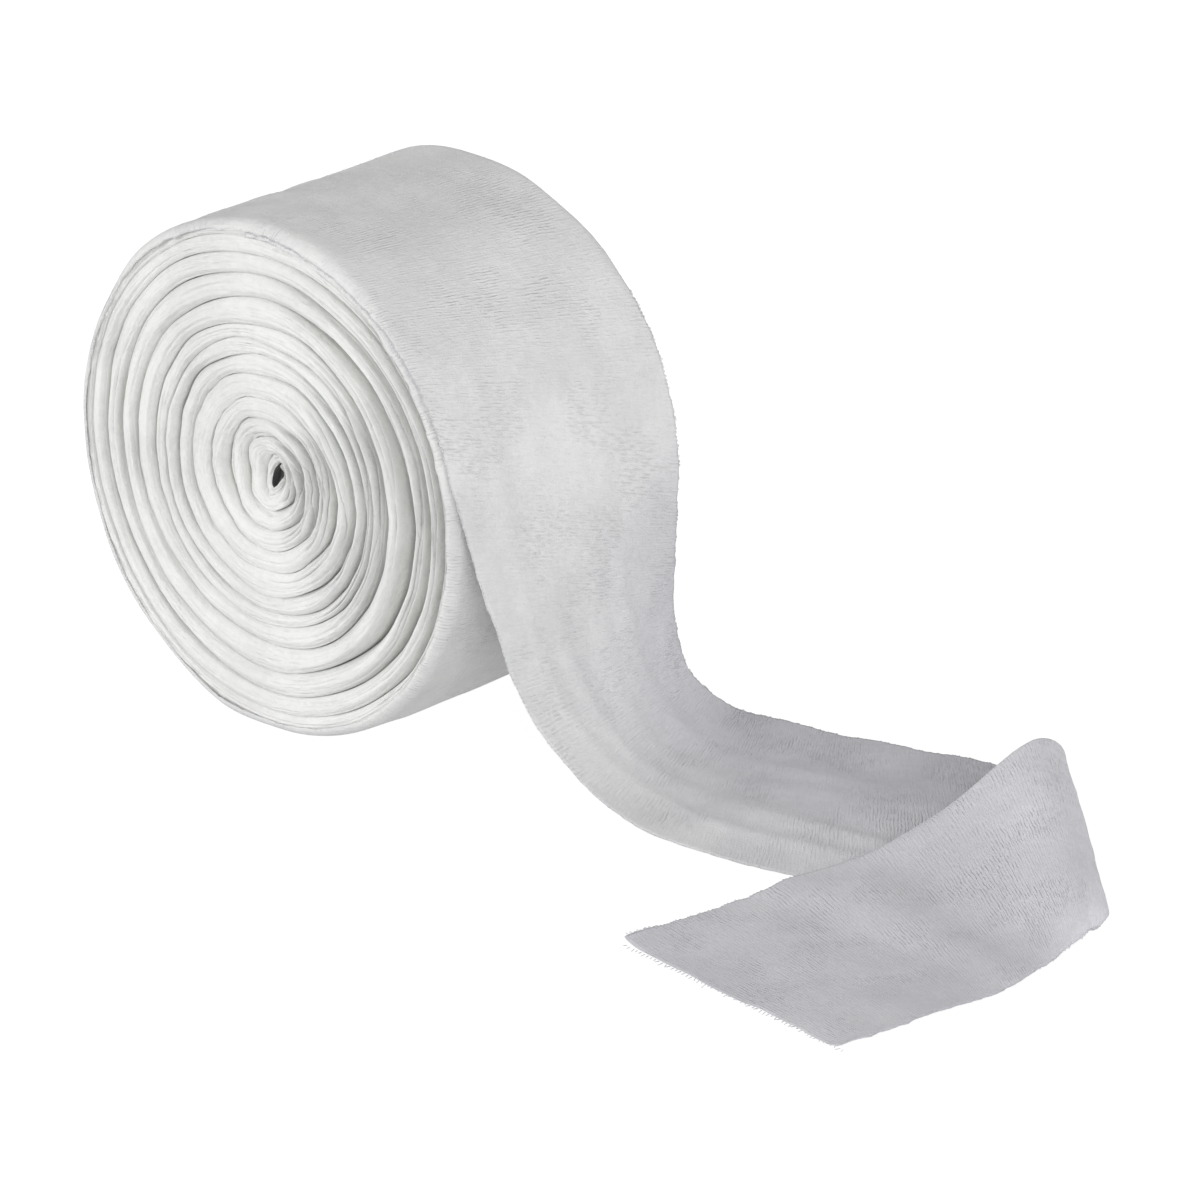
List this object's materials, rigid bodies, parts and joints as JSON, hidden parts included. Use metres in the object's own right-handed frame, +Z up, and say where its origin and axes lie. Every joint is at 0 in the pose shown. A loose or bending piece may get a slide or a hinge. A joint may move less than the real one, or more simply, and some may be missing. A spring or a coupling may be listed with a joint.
{
  "type": "gauze roll",
  "caption": "Wide soft gauze wound into a thick roll that stands on its rim, with its loose end run out over the top, dropped to the floor and turned in a soft diagonal fold.",
  "frame": {"origin": "middle of the roll's pressed flat bottom, on the floor", "axes": "+X the way the loose end runs out, +Y along the roll's axis away from the end face that is seen, +Z up"},
  "size_m": [0.3974, 0.2008, 0.1712],
  "materials": {
    "roll_gauze": "soft off-white cotton gauze, matte, fuzzy",
    "tail_gauze": "one layer of the same gauze, matte, lets light through"
  },
  "bodies": {
    "root": {"wound_roll": "roll_gauze", "loose_tail": "tail_gauze"}
  },
  "joints": []
}
